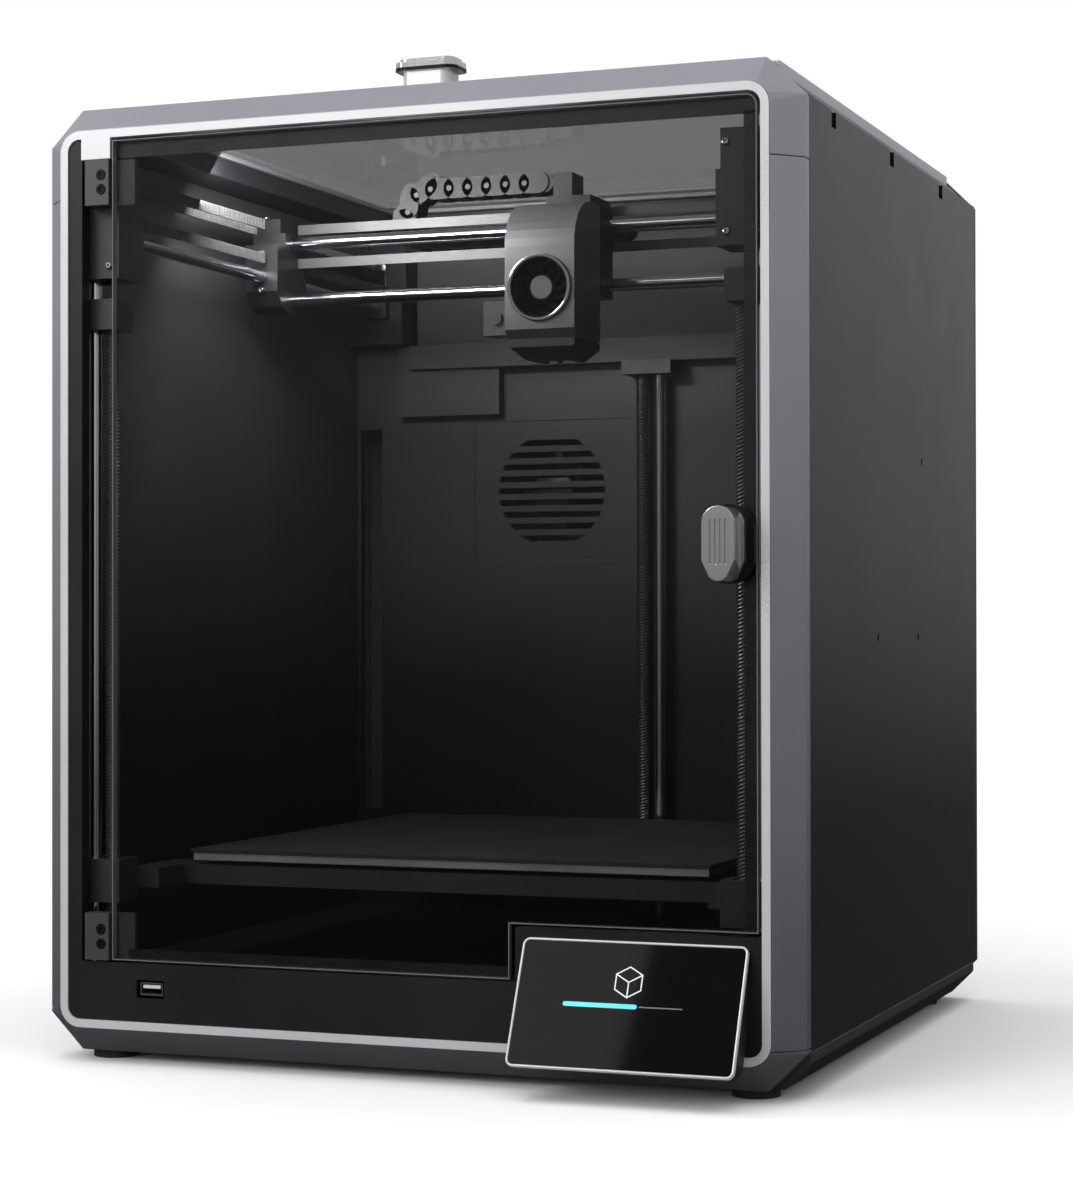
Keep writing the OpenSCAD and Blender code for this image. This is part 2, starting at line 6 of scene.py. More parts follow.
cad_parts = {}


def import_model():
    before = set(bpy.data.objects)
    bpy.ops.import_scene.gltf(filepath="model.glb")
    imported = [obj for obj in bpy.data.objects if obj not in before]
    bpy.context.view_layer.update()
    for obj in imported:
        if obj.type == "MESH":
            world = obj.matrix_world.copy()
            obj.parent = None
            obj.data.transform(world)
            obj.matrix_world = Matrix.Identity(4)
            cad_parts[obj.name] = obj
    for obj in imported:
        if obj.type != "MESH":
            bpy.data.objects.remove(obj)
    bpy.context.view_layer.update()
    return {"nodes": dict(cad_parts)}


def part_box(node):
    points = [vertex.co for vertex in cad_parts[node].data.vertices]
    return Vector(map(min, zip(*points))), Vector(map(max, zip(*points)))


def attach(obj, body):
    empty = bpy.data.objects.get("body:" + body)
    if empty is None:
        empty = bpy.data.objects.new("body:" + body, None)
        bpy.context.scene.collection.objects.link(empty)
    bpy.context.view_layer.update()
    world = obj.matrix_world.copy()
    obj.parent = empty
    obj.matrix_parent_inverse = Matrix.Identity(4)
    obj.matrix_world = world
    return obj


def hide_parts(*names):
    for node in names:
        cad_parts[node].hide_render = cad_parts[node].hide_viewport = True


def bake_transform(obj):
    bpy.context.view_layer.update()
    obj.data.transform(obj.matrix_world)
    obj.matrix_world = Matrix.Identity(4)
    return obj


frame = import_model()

NODES = frame["nodes"]

# The part's own datum: the ring face in Y and the underside of the case in Z, in millimetres
RING_Y = -201.0
CASE_Z = 5.0

# Places shared with the CAD, in the part's millimetres
SCREW_PLACES = {"left": (-183, 22), "right": (183, 22), "rear": (5, 385)}
MOTOR_X = 184
MOTOR_Y = 395
BELT_HIGH_Z = 482
BELT_LOW_Z = 461
EXHAUST_X = -63
EXHAUST_Z = 325
PANEL_FACE_X = 216.6
REAR_FACE_Y = 421
MOTOR_TOP_Z = 453


def at(x, y, z):
    """A point given in the part's millimetres, as the frame's metres."""
    return Vector((x / 1000, (y + RING_Y) / 1000, (z + CASE_Z) / 1000))


def box_mm(node):
    """A node's low and high corners in the part's millimetres."""
    low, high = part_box(node)
    back = Vector((0, -RING_Y, -CASE_Z))
    return Vector(low) * 1000 + back, Vector(high) * 1000 + back


# ---------------------------------------------------------------- materials
class Graph:
    """A short way to write a node material."""

    def __init__(self, name):
        self.m = bpy.data.materials.new(name)
        self.m.use_nodes = True
        self.t = self.m.node_tree
        self.t.nodes.clear()
        self.out = self.t.nodes.new("ShaderNodeOutputMaterial")
        self.bsdf = self.t.nodes.new("ShaderNodeBsdfPrincipled")
        self.link(self.bsdf.outputs[0], self.out.inputs[0])
        self.coord = self.t.nodes.new("ShaderNodeTexCoord")

    def node(self, kind, **settings):
        n = self.t.nodes.new(kind)
        for key, value in settings.items():
            setattr(n, key, value)
        return n

    def link(self, a, b):
        self.t.links.new(a, b)

    def mapping(self, scale):
        n = self.node("ShaderNodeMapping")
        n.inputs["Scale"].default_value = scale
        self.link(self.coord.outputs["Object"], n.inputs["Vector"])
        return n.outputs["Vector"]

    def noise(self, scale, detail=3.0, stretch=(1, 1, 1)):
        n = self.node("ShaderNodeTexNoise")
        n.inputs["Scale"].default_value = scale
        n.inputs["Detail"].default_value = detail
        self.link(self.mapping(stretch), n.inputs["Vector"])
        return n.outputs["Fac"]

    def span(self, value, low, high, start=0.3, end=0.7):
        n = self.node("ShaderNodeMapRange")
        n.inputs["From Min"].default_value = start
        n.inputs["From Max"].default_value = end
        n.inputs["To Min"].default_value = low
        n.inputs["To Max"].default_value = high
        self.link(value, n.inputs["Value"])
        return n.outputs["Result"]

    def ramp(self, value, a, b, start=0.3, end=0.7):
        n = self.node("ShaderNodeValToRGB")
        n.color_ramp.elements[0].position = start
        n.color_ramp.elements[0].color = (*a, 1)
        n.color_ramp.elements[1].position = end
        n.color_ramp.elements[1].color = (*b, 1)
        self.link(value, n.inputs["Fac"])
        return n.outputs["Color"]

    def add(self, a, b):
        n = self.node("ShaderNodeMath", operation="ADD")
        self.link(a, n.inputs[0])
        self.link(b, n.inputs[1])
        return n.outputs[0]

    def height(self, low_z, high_z):
        """0 at low_z and 1 at high_z, in the part's millimetres, on a piece that isn't turned."""
        split = self.node("ShaderNodeSeparateXYZ")
        self.link(self.coord.outputs["Object"], split.inputs[0])
        start = at(0, 0, low_z).z
        end = at(0, 0, high_z).z
        return self.span(split.outputs["Z"], 0.0, 1.0, start, end)

    def mix(self, fac, a, b):
        n = self.node("ShaderNodeMix", data_type="RGBA")
        self.link(fac, n.inputs["Factor"])
        for key, value in (("A", a), ("B", b)):
            colour = [s for s in n.inputs if s.name == key and s.type == "RGBA"][0]
            if isinstance(value, tuple):
                colour.default_value = (*value, 1)
            else:
                self.link(value, colour)
        return [s for s in n.outputs if s.type == "RGBA"][0]

    def bump(self, height, strength, distance):
        n = self.node("ShaderNodeBump")
        n.inputs["Strength"].default_value = strength
        n.inputs["Distance"].default_value = distance
        self.link(height, n.inputs["Height"])
        self.link(n.outputs["Normal"], self.bsdf.inputs["Normal"])

    def set(self, **values):
        for key, value in values.items():
            self.bsdf.inputs[key.replace("_", " ")].default_value = value


def surface(name, colour, rough, metallic=0.0, vary=0.12, grain=900.0, bump=0.05, depth=0.00005,
            stretch=(1, 1, 1), spread=0.06, specular=0.5, smudge=14.0, painted_shade=None):
    """A painted, moulded or metal surface: a slow change of tone, fine grain in the gloss and
    relief. The last argument, (low_z, high_z, share), is painted shade: the colour drops to that share of
    itself at low_z, darker towards the bottom."""
    g = Graph(name)
    slow = g.noise(smudge, 4.0)
    fine = g.noise(grain, 2.0, stretch)
    dark = tuple(c * (1 - vary) for c in colour)
    light = tuple(min(1.0, c * (1 + vary)) for c in colour)
    tone = g.ramp(slow, dark, light)
    # Painted shade: the colour darkens towards low_z in the piece's own height.
    if painted_shade:
        low_z, high_z, share = painted_shade
        tone = g.mix(g.height(low_z, high_z), tuple(c * share for c in colour), tone)
    g.link(tone, g.bsdf.inputs["Base Color"])
    gloss = g.add(g.span(slow, -spread, spread), g.span(fine, rough - spread, rough + spread))
    g.link(gloss, g.bsdf.inputs["Roughness"])
    g.bump(fine, bump, depth)
    g.set(Metallic=metallic, Specular_IOR_Level=specular)
    return g.m


def clear(name, colour, alpha, rough):
    """Tinted clear sheet with faint wipe marks in its gloss."""
    g = Graph(name)
    marks = g.noise(9.0, 5.0, (1, 1, 0.35))
    g.link(g.span(marks, rough * 0.6, rough * 1.6), g.bsdf.inputs["Roughness"])
    g.link(g.ramp(marks, tuple(c * 0.9 for c in colour), colour), g.bsdf.inputs["Base Color"])
    g.set(Alpha=alpha, IOR=1.5)
    return g.m


def glowing(name, colour, strength):
    """A lit patch of the display, with its rows of picture elements."""
    g = Graph(name)
    rows = g.node("ShaderNodeTexWave", wave_type="BANDS", bands_direction="Z")
    rows.inputs["Scale"].default_value = 900.0
    g.link(g.coord.outputs["Object"], rows.inputs["Vector"])
    tint = g.ramp(rows.outputs["Fac"], tuple(c * 0.85 for c in colour), colour, 0.0, 1.0)
    g.link(tint, g.bsdf.inputs["Base Color"])
    g.link(tint, g.bsdf.inputs["Emission Color"])
    g.set(Roughness=0.2, Emission_Strength=strength)
    return g.m


M = {
    # Painted shade: the case paint darkens to 0.42 of its colour towards the bottom of the case.
    "case": surface("case_paint", (0.28, 0.286, 0.312), 0.40, 0.6, 0.03, 2600, 0.06, 0.00003,
                    painted_shade=(0, 420, 0.42)),
    # Painted shade: the bottom moulding has the case's finish, given a darker colour for the shade low on
    # the front.
    "case_low": surface("case_paint_painted_shade", (0.10, 0.102, 0.109), 0.42, 0.5, 0.04, 2600, 0.12, 0.00003),
    "ring": surface("ring_anodised", (0.50, 0.505, 0.51), 0.30, 0.35, 0.02, 1800, 0.02, 0.00001,
                    spread=0.02),
    "bezel": surface("bezel_plastic", (0.007, 0.0074, 0.008), 0.38, 0.0, 0.1, 1500, 0.2, 0.00004,
                     specular=0.3),
    "rail": surface("rail_plastic", (0.035, 0.036, 0.039), 0.45, 0.1, 0.05, 1800, 0.25, 0.00004,
                    specular=0.35),
    # Painted shade: the base tray has the rails' plastic, given a darker colour for the shade at the foot
    # of the case.
    "rail_low": surface("rail_plastic_painted_shade", (0.022, 0.023, 0.025), 0.45, 0.1, 0.05, 1800, 0.25, 0.00004,
                        specular=0.3),
    "panel": surface("panel_gloss", (0.005, 0.005, 0.0055), 0.16, 0.0, 0.15, 700, 0.02, 0.00002,
                     specular=0.14),
    "rear": surface("rear_plastic", (0.022, 0.023, 0.025), 0.5, 0.0, 0.1, 1400, 0.5, 0.00008),
    # Painted shade: the chamber walls darken to 0.05 of their colour towards the bottom of the chamber.
    "inner": surface("inner_coat", (0.085, 0.088, 0.092), 0.5, 0.1, 0.12, 1600, 0.35, 0.00005,
                     specular=0.3, painted_shade=(190, 505, 0.05)),
    "rod": surface("ground_steel", (0.78, 0.79, 0.81), 0.12, 1.0, 0.05, 900, 0.05, 0.00001, (1, 1, 14)),
    "bracket": surface("cast_coat", (0.016, 0.017, 0.018), 0.42, 0.1, 0.15, 1200, 0.4, 0.00008),
    "motor": surface("motor_coat", (0.03, 0.03, 0.032), 0.4, 0.4, 0.15, 1500, 0.2, 0.00004),
    "belt": surface("belt_rubber", (0.045, 0.045, 0.046), 0.38, 0.0, 0.2, 2400, 0.4, 0.00006),
    "foot": surface("foot_rubber", (0.012, 0.012, 0.012), 0.7, 0.0, 0.2, 1800, 0.4, 0.00008),
    "alloy": surface("milled_alloy", (0.60, 0.61, 0.63), 0.32, 0.95, 0.05, 1400, 0.12, 0.00003, (6, 1, 1)),
    "steel": surface("plain_steel", (0.5, 0.5, 0.51), 0.3, 1.0, 0.08, 1600, 0.1, 0.00002),
    "thread": surface("rolled_thread", (0.14, 0.14, 0.145), 0.34, 0.9, 0.1, 1600, 0.1, 0.00002),
    "socket": surface("socket_shell", (0.06, 0.06, 0.061), 0.4, 0.6, 0.1, 1600, 0.1, 0.00002),
    "brass": surface("brass", (0.60, 0.42, 0.17), 0.3, 1.0, 0.1, 1500, 0.1, 0.00002),
    "black": surface("black_plastic", (0.012, 0.012, 0.0135), 0.42, 0.0, 0.15, 1500, 0.25, 0.00004,
                     specular=0.3),
    "gloss": surface("gloss_plastic", (0.005, 0.005, 0.006), 0.16, 0.0, 0.2, 600, 0.02, 0.00001,
                     specular=0.2),
    "screen": surface("screen_glass", (0.002, 0.002, 0.0025), 0.05, 0.0, 0.2, 300, 0.0, 0.00001,
                      spread=0.004, specular=0.04),
    # Painted shade: the head cover darkens to 0.35 of its colour towards its lower edge.
    "cover": surface("head_brushed", (0.15, 0.152, 0.157), 0.42, 0.4, 0.06, 1300, 0.08, 0.00003,
                     (1, 1, 20), spread=0.03, painted_shade=(398, 452, 0.35)),
    "sensor": surface("sensor_grey", (0.028, 0.028, 0.030), 0.30, 0.0, 0.08, 1300, 0.15, 0.00003),
    "hub": surface("fan_hub_label", (0.05, 0.05, 0.051), 0.45, 0.0, 0.06, 1300, 0.1, 0.00002),
    "plate": surface("plate_texture", (0.011, 0.011, 0.012), 0.6, 0.1, 0.2, 2200, 0.8, 0.00015),
    "hinge": surface("hinge_coat", (0.04, 0.04, 0.041), 0.42, 0.3, 0.08, 1500, 0.2, 0.00004),
    "lid": surface("lid_rim", (0.36, 0.37, 0.385), 0.4, 0.1, 0.04, 1500, 0.15, 0.00003),
    "stem": surface("stem_satin", (0.62, 0.625, 0.625), 0.3, 0.4, 0.04, 1500, 0.02, 0.00002,
                    spread=0.02),
    "chrome": surface("polished_chrome", (0.66, 0.66, 0.67), 0.10, 1.0, 0.04, 500, 0.0, 0.00001,
                      spread=0.02),
    "handle": surface("handle_satin", (0.50, 0.50, 0.51), 0.18, 0.9, 0.04, 1200, 0.01, 0.00001,
                      spread=0.02),
    "door": clear("door_smoke", (0.004, 0.004, 0.0045), 0.20, 0.03),
    "filter": surface("filter_felt", (0.012, 0.012, 0.012), 0.9, 0.0, 0.3, 1100, 0.9, 0.0003),
    "window": clear("lid_smoke", (0.006, 0.006, 0.0065), 0.55, 0.05),
    "frit": surface("door_print", (0.009, 0.009, 0.0095), 0.3, 0.0, 0.1, 1500, 0.05, 0.00001),
    # Painted highlight: this lighter colour on the door's edge strip stands in for the glint on the
    # glass's cut edge.
    "edge": surface("glass_edge_painted_highlight", (0.13, 0.135, 0.14), 0.15, 0.3, 0.1, 900, 0.05, 0.00001),
    "teal": glowing("display_teal", (0.02, 0.36, 0.42), 0.9),
    "white": glowing("display_white", (0.42, 0.45, 0.47), 0.8),
    "dim": glowing("display_dim", (0.05, 0.055, 0.06), 0.4),
}

# Which finish and which softened edge, in millimetres, each CAD node has
LOOKS = {
    "front_top_moulding": ("case", 1.6), "front_posts": ("case", 1.2),
    "front_bottom_moulding": ("case_low", 1.6), "trim_ring": ("ring", 0.7),
    "screen_rim": ("ring", 0.6), "front_bezel": ("bezel", 0.5), "base_tray": ("rail_low", 0.8),
    "top_frame": ("rail", 0.8), "rear_frame": ("rail", 1.2), "side_panels": ("panel", 0.5),
    "rear_cover": ("rear", 0.6), "fan_guard": ("rear", 0.6), "inner_walls": ("inner", 0.3),
    "guide_rods": ("rod", 0.3), "x_rods": ("rod", 0.3), "guide_brackets": ("bracket", 0.6),
    "front_rod_blocks": ("bracket", 0.8), "rear_brackets": ("bracket", 0.6),
    "x_end_blocks": ("bracket", 1.0), "bed_frame": ("bracket", 0.8), "motors": ("motor", 0.8),
    "z_belt": ("belt", 0), "feet": ("foot", 1.0), "xy_pulley_left": ("alloy", 0.3),
    "xy_pulley_right": ("alloy", 0.3), "z_pulley": ("alloy", 0.3), "heated_bed": ("alloy", 0.4),
    "hinge_pins": ("steel", 0.2), "usb_port": ("socket", 0.15), "lead_nuts": ("brass", 0.4),
    "hot_end": ("brass", 0.4), "exhaust_housing": ("black", 0.6), "filament_inlet": ("black", 0.4),
    "head_body": ("black", 0.8), "screen_housing": ("black", 0.6), "power_inlet": ("black", 0.5),
    "power_rocker": ("gloss", 0.4), "door_handle_base": ("gloss", 0.8),
    "hinge_screws": ("gloss", 0.15), "range_sensor": ("sensor", 0.6), "screen_glass": ("screen", 0.2),
    "head_cover": ("cover", 0.8), "build_plate": ("plate", 0.25), "hinge_leaves": ("hinge", 0.5),
    "lid_frame": ("lid", 0.8), "lid_knob_stem": ("stem", 0.8), "lid_knob_cap": ("chrome", 0.9),
    "head_fan_ring": ("chrome", 0.4), "door_handle_grip": ("handle", 0.9),
    "door_glass": ("door", 0), "lid_window": ("window", 0),
}


def shade(obj, angle=32):
    for p in obj.data.polygons:
        p.use_smooth = True
    obj.data.set_sharp_from_angle(angle=math.radians(angle))


def soften(obj, width_mm, segments=3, angle=32):
    b = obj.modifiers.new("edge", "BEVEL")
    b.width = width_mm / 1000
    b.segments = segments
    b.limit_method = "ANGLE"
    b.angle_limit = math.radians(angle)
    n = obj.modifiers.new("normals", "WEIGHTED_NORMAL")
    n.keep_sharp = True


def dress_nodes():
    for name, (key, width) in LOOKS.items():
        node = NODES[name]
        node.data.materials.clear()
        node.data.materials.append(M[key])
        if width:
            # The imported mesh is split along its sharp edges, so it is joined before the bevel
            weld = node.modifiers.new("weld", "WELD")
            weld.merge_threshold = 0.00001
            soften(node, width)


# ---------------------------------------------------------------- shapes
def circle(r, steps=48, x=0.0, y=0.0, start=0.0, turn=360.0):
    """Points on an arc. A whole circle leaves out its last point."""
    count = steps if turn >= 360 else steps + 1
    angles = [math.radians(start + turn * k / steps) for k in range(count)]
    return [(x + r * math.cos(a), y + r * math.sin(a)) for a in angles]


def rounded(x0, x1, y0, y1, r, steps=8):
    """A rectangle with round corners."""
    corners = ((x1 - r, y1 - r, 0), (x0 + r, y1 - r, 90), (x0 + r, y0 + r, 180), (x1 - r, y0 + r, 270))
    return [p for x, y, a in corners for p in circle(r, steps, x, y, a, 90)]


class Shape:
    """Closed solids in the part's millimetres, gathered into one piece."""

    def __init__(self):
        self.verts = []
        self.faces = []

    def add(self, verts, faces, turn=None):
        base = len(self.verts)
        self.verts += [turn @ Vector(v) if turn else Vector(v) for v in verts]
        self.faces += [[base + i for i in f] for f in faces]

    def loft(self, rings, turn=None, closed=False):
        """Skin between rings of the same count. Ends are capped unless the rings close on themselves."""
        n = len(rings[0])
        verts = [p for ring in rings for p in ring]
        faces = []
        last = len(rings) if closed else len(rings) - 1
        for i in range(last):
            a = i * n
            b = ((i + 1) % len(rings)) * n
            faces += [[a + k, a + (k + 1) % n, b + (k + 1) % n, b + k] for k in range(n)]
        if not closed:
            faces.append(list(range(n))[::-1])
            faces.append([(len(rings) - 1) * n + k for k in range(n)])
        self.add(verts, faces, turn)

    def prism(self, outline, a, b, axis="y", turn=None):
        """An outline drawn across an axis and drawn out from a to b along it."""
        lift = {"x": lambda p, h: (h, p[0], p[1]), "y": lambda p, h: (p[0], h, p[1]),
                "z": lambda p, h: (p[0], p[1], h)}[axis]
        self.loft([[lift(p, a) for p in outline], [lift(p, b) for p in outline]], turn)

    def frame(self, outer, inner, a, b, axis="y", turn=None):
        """The band between two outlines of the same count."""
        lift = {"x": lambda p, h: (h, p[0], p[1]), "y": lambda p, h: (p[0], h, p[1]),
                "z": lambda p, h: (p[0], p[1], h)}[axis]
        rings = []
        for o, i in zip(outer, inner):
            rings.append([lift(o, a), lift(o, b), lift(i, b), lift(i, a)])
        self.loft(rings, turn, closed=True)

    def box(self, x0, x1, y0, y1, z0, z1, turn=None):
        self.prism([(x0, z0), (x1, z0), (x1, z1), (x0, z1)], y0, y1, "y", turn)

    def turned(self, profile, centre, axis="z", steps=48):
        """A profile of (radius, height) points turned about an axis through centre."""
        c = Vector(centre)
        rings = []
        for r, h in profile:
            ring = []
            for u, v in circle(max(r, 0.01), steps):
                ring.append({"x": c + Vector((h, u, v)), "y": c + Vector((u, h, v)),
                             "z": c + Vector((u, v, h))}[axis])
            rings.append(ring)
        self.loft(rings)

    def make(self, name, material, body, angle=32, edge=0.0, replaces=()):
        """The piece in metres."""
        data = bpy.data.meshes.new(name)
        data.from_pydata([at(*v) for v in self.verts], [], self.faces)
        bm = bmesh.new()
        bm.from_mesh(data)
        bmesh.ops.recalc_face_normals(bm, faces=bm.faces)
        bm.to_mesh(data)
        bm.free()
        obj = bpy.data.objects.new(name, data)
        bpy.context.collection.objects.link(obj)
        data.materials.append(M[material])
        shade(obj, angle)
        if edge:
            soften(obj, edge, 2, angle)
        if body:
            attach(obj, body)
        if replaces:
            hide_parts(*replaces)
        return obj


# ---------------------------------------------------------------- lead screws and belts
SCREW_R = 4.0
THREAD_PITCH = 2.0
THREAD_STARTS = 4
THREAD_DEPTH = 0.55
THREAD_SIDES = 24
THREAD_STEPS = 6
STUB_LONG = 5.0
WHEEL_WIDE = 6.5
WHEEL_FLANGE = 2.5
TOP_END = 6.0
END_CHAMFER = 0.4


def toothed_wheel(shape, centre, teeth, root, tip, z0, z1):
    """A belt wheel: teeth between z0 and z1 and a flange on each side."""
    outline = []
    for k in range(teeth):
        for share, r in ((0.0, root), (0.25, tip), (0.6, tip), (0.85, root)):
            a = 2 * math.pi * (k + share) / teeth
            outline.append((centre[0] + r * math.cos(a), centre[1] + r * math.sin(a)))
    shape.prism(outline, z0, z1, "z")
    flange = tip + 1.2
    for base in (z0 - 2, z1):
        shape.turned([(0, 0), (flange - 0.4, 0), (flange, 0.5), (flange, 1.5), (flange - 0.4, 2), (0, 2)],
                     (centre[0], centre[1], base))


def lead_screw(side, x, y):
    """A rolled thread with plain ends and the belt wheel at its foot."""
    low, high = box_mm("leadscrew_" + side)
    wheel_low = low.z + STUB_LONG
    wheel_high = wheel_low + WHEEL_WIDE
    thread_low = wheel_high + WHEEL_FLANGE
    thread_high = high.z - TOP_END
    s = Shape()
    rise = THREAD_PITCH / THREAD_STEPS
    rings = []
    count = int((thread_high - thread_low) / rise)
    for i in range(count + 1):
        z = thread_low + rise * i
        ring = []
        for k in range(THREAD_SIDES):
            a = 2 * math.pi * k / THREAD_SIDES
            wave = math.cos(2 * math.pi * z / THREAD_PITCH - THREAD_STARTS * a)
            r = SCREW_R - THREAD_DEPTH * (0.5 - 0.5 * max(-1.0, min(1.0, 1.6 * wave)))
            ring.append((x + r * math.cos(a), y + r * math.sin(a), z))
        rings.append(ring)
    s.loft(rings)
    core = SCREW_R - THREAD_DEPTH
    tip = core - END_CHAMFER
    s.turned([(tip, 0), (core, END_CHAMFER), (core, thread_low - low.z)], (x, y, low.z))
    s.turned([(core, 0), (core, TOP_END - END_CHAMFER), (tip, TOP_END)], (x, y, thread_high))
    toothed_wheel(s, (x, y), 26, 7.9, 8.6, wheel_low, wheel_high)
    s.make("screw_" + side, "thread", "screw_" + side, 28,
           replaces=("leadscrew_" + side,))


def lead_screws():
    for side, (x, y) in SCREW_PLACES.items():
        lead_screw(side, x, y)


BELT_BACK = 0.7
TOOTH_RISE = 0.7
TOOTH_PITCH = 2.0
BELT_WIDE = 6.0
BELT_HEIGHTS = (BELT_HIGH_Z, BELT_LOW_Z)
# Where the belt runs begin and end
BLOCK_BACK_Y = 38.2
TOWER_FRONT_Y = 375.8
REAR_RUN_Y = 402.9
TOWER_INNER_X = 160.6
OUTER_RUN_X = 192
CROSS_RUN_X = 167.8
CROSS_RUN_Y = 226.2


def toothed_run(shape, p, q, z, inward):
    """A belt between two points in plan. inward is +1 or -1, the side that its teeth face."""
    start = Vector((p[0], p[1], 0))
    along = Vector((q[0], q[1], 0)) - start
    length = along.length
    along.normalize()
    across = Vector((-along.y, along.x, 0)) * inward
    rings = []
    for k in range(int(length / TOOTH_PITCH)):
        for share, rise in ((0.0, 0.0), (0.15, TOOTH_RISE), (0.5, TOOTH_RISE), (0.65, 0.0)):
            here = start + along * (TOOTH_PITCH * (k + share))
            back = here - across * BELT_BACK
            front = here + across * rise
            low = Vector((0, 0, z - BELT_WIDE / 2))
            high = Vector((0, 0, z + BELT_WIDE / 2))
            rings.append([back + low, front + low, front + high, back + high])
    shape.loft(rings)


def belts():
    """The two crossed belts: the runs that stay with the case, those along the gantry, and those
    between the case and the gantry."""
    low, high = box_mm("x_end_blocks")
    front_y = low.y - 0.2
    back_y = high.y + 1.4
    fixed = Shape()
    for side, z in ((-1, BELT_HIGH_Z), (1, BELT_LOW_Z)):
        x = side * OUTER_RUN_X
        toothed_run(fixed, (x, BLOCK_BACK_Y), (x, MOTOR_Y), z, side)
    for side, z in ((-1, BELT_HIGH_Z), (1, BELT_LOW_Z)):
        start = (side * MOTOR_X, REAR_RUN_Y)
        toothed_run(fixed, start, (-side * TOWER_INNER_X, REAR_RUN_Y), z, side)
    fixed.make("fixed_belts", "belt", "chassis", 40, replaces=("belt_fixed_runs",))
    cross = Shape()
    for z in BELT_HEIGHTS:
        toothed_run(cross, (-CROSS_RUN_X, CROSS_RUN_Y), (CROSS_RUN_X, CROSS_RUN_Y), z, 1)
    cross.make("cross_belts", "belt", "gantry", 40, replaces=("belt_cross_runs",))
    runs = (("front", 176, BLOCK_BACK_Y, front_y), ("back", 175, TOWER_FRONT_Y, back_y))
    for name, x, fixed_y, moving_y in runs:
        s = Shape()
        for z in BELT_HEIGHTS:
            for side in (-1, 1):
                toothed_run(s, (side * x, fixed_y), (side * x, moving_y), z, side)
        obj = s.make(name + "_belts", "belt", None, 40)
        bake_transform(obj)
        if name == "front":
            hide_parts("belt_side_runs")


# ---------------------------------------------------------------- cable chain
CHAIN_PITCH = 12.4
CHAIN_TURN_X = -80.0
CHAIN_Z = 488.0
CHAIN_Y = 231.0
CHAIN_DEEP = 16.0
CHAIN_HIGH = 13.0
CHAIN_ARM = 15.5
CHAIN_FIXED_X = 50.0
BRACKET_X = 2.0


def chain_link(shape, turn):
    """One link lying along X from its own pivot: two side plates and two cross bars."""
    half = CHAIN_HIGH / 2
    plate = circle(half - 0.4, 12, 0, 0, 90, 180) + circle(half - 0.4, 12, CHAIN_PITCH, 0, -90, 180)
    waist = circle(half, 12, 2.6, 0, 100, 160) + circle(half, 12, CHAIN_PITCH - 3.4, 0, -80, 160)
    for y0, y1 in ((0.0, 1.3), (CHAIN_DEEP - 1.3, CHAIN_DEEP)):
        shape.prism(waist, y0, y1, "y", turn)
    for y0, y1 in ((1.4, 2.6), (CHAIN_DEEP - 2.6, CHAIN_DEEP - 1.4)):
        shape.prism(plate, y0, y1, "y", turn)
    for z0, z1 in ((-half, 1.6 - half), (half - 1.6, half)):
        shape.box(2.2, 8.6, 0.6, CHAIN_DEEP - 0.6, z0, z1, turn)


def chain_pins(shape, turn):
    """The ends of a link's pin, just proud of its side plates."""
    for y0, y1 in ((-0.35, 0.0), (CHAIN_DEEP, CHAIN_DEEP + 0.35)):
        shape.prism(circle(1.7, 16), y0, y1, "y", turn)


def drag_chain():
    """Two straight runs and the bend between them."""
    def straight(x, z, flip=1):
        return Matrix.Translation((x, CHAIN_Y, z)) @ Matrix.Diagonal((1, 1, flip, 1))

    def in_turn(angle):
        a = math.radians(angle)
        arm = Vector((-math.sin(a), 0, -math.cos(a))) * CHAIN_ARM
        place = Matrix.Translation(Vector((CHAIN_TURN_X, CHAIN_Y, CHAIN_Z)) + arm)
        return place @ Matrix.Rotation(a, 4, "Y") @ Matrix.Rotation(math.pi, 4, "Y")

    lower = [straight(CHAIN_TURN_X + CHAIN_PITCH * k, CHAIN_Z - CHAIN_ARM) for k in range(10)]
    upper = [straight(CHAIN_TURN_X + CHAIN_PITCH * k, CHAIN_Z + CHAIN_ARM) for k in range(6)]
    turn = [in_turn(a) for a in (8, 53, 98, 143)]
    far = 50.0
    reach_low = 2 * CHAIN_TURN_X - CHAIN_FIXED_X
    reach_high = 2 * CHAIN_TURN_X - BRACKET_X
    parts = (
        ("chain_lower", lower, at(CHAIN_FIXED_X, CHAIN_Y, CHAIN_Z), at(reach_low, CHAIN_Y, CHAIN_Z)),
        ("chain_turn", turn, at(CHAIN_TURN_X, CHAIN_Y, CHAIN_Z) - Vector((far, 0, 0)),
         at(CHAIN_TURN_X, CHAIN_Y, CHAIN_Z) + Vector((far, 0, 0))),
        ("chain_upper", upper, at(reach_high, CHAIN_Y, CHAIN_Z), at(BRACKET_X, CHAIN_Y, CHAIN_Z)),
    )
    for name, places, start, end in parts:
        links = Shape()
        pins = Shape()
        for place in places:
            chain_link(links, place)
            chain_pins(pins, place)
        obj = links.make(name, "black", None)
        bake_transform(obj)
        studs = pins.make(name + "_pins", "bracket", None)
        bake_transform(studs)
        if name == "chain_lower":
            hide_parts("drag_chain")


